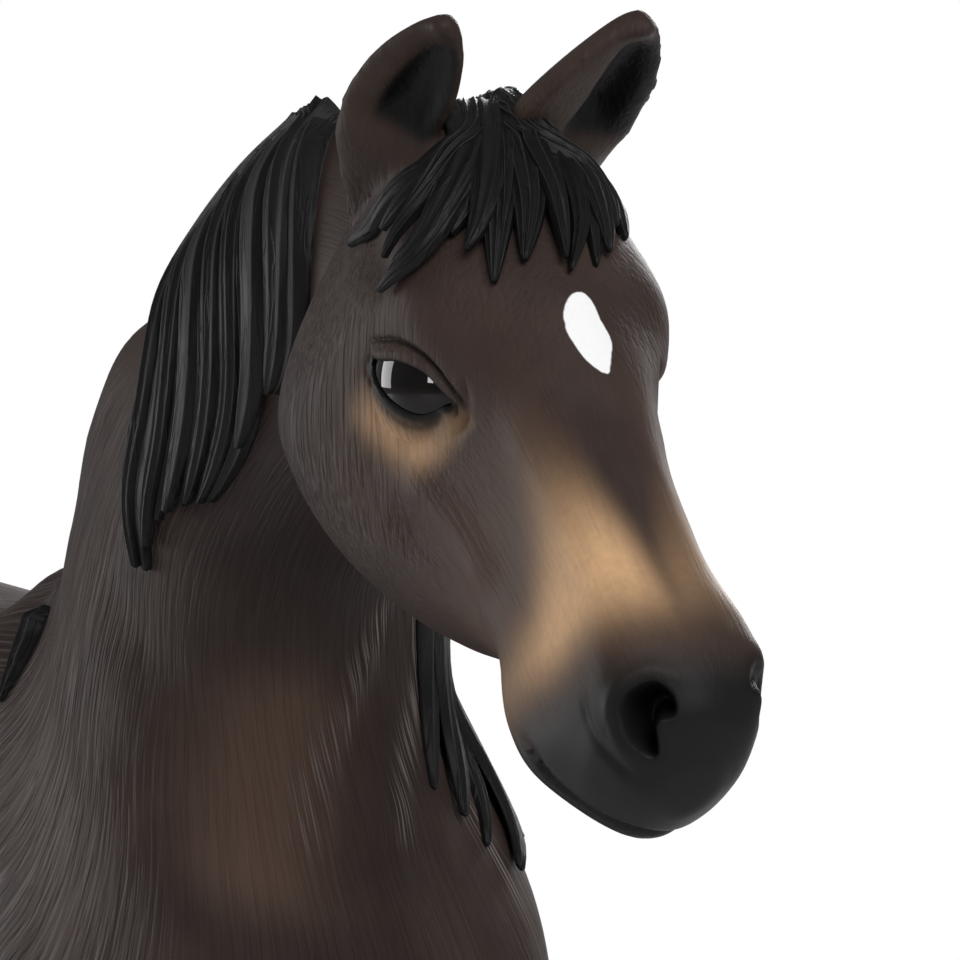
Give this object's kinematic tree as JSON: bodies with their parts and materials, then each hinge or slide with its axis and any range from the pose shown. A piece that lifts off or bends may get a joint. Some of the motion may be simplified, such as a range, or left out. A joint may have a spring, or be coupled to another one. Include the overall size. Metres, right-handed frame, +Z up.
{
  "type": "toy farm animal figure",
  "caption": "Standing toy horse with its head turned to one side, upright ears, bead eyes, moulded locks of mane and forelock, and a hanging tail.",
  "frame": {"origin": "middle of the figure's box on the surface that its hooves stand on", "axes": "+X towards the nose, +Y to the horse's left, +Z up"},
  "size_m": [0.1184, 0.0282, 0.1061],
  "materials": {
    "coat": "matt painted dark bay with tan airbrushing and a near black muzzle",
    "hair": "matt near black with fine moulded ridges",
    "eye": "gloss lacquered black"
  },
  "bodies": {
    "root": {"trunk": "coat", "neck": "coat", "head": "coat", "right_eye": "eye", "left_eye": "eye", "forelock": "hair", "mane_right_fall": "hair", "mane_left_fall": "hair", "foreleg_left": "coat", "foreleg_right": "coat", "hind_leg_left": "coat", "hind_leg_right": "coat", "tail": "hair"}
  },
  "joints": []
}
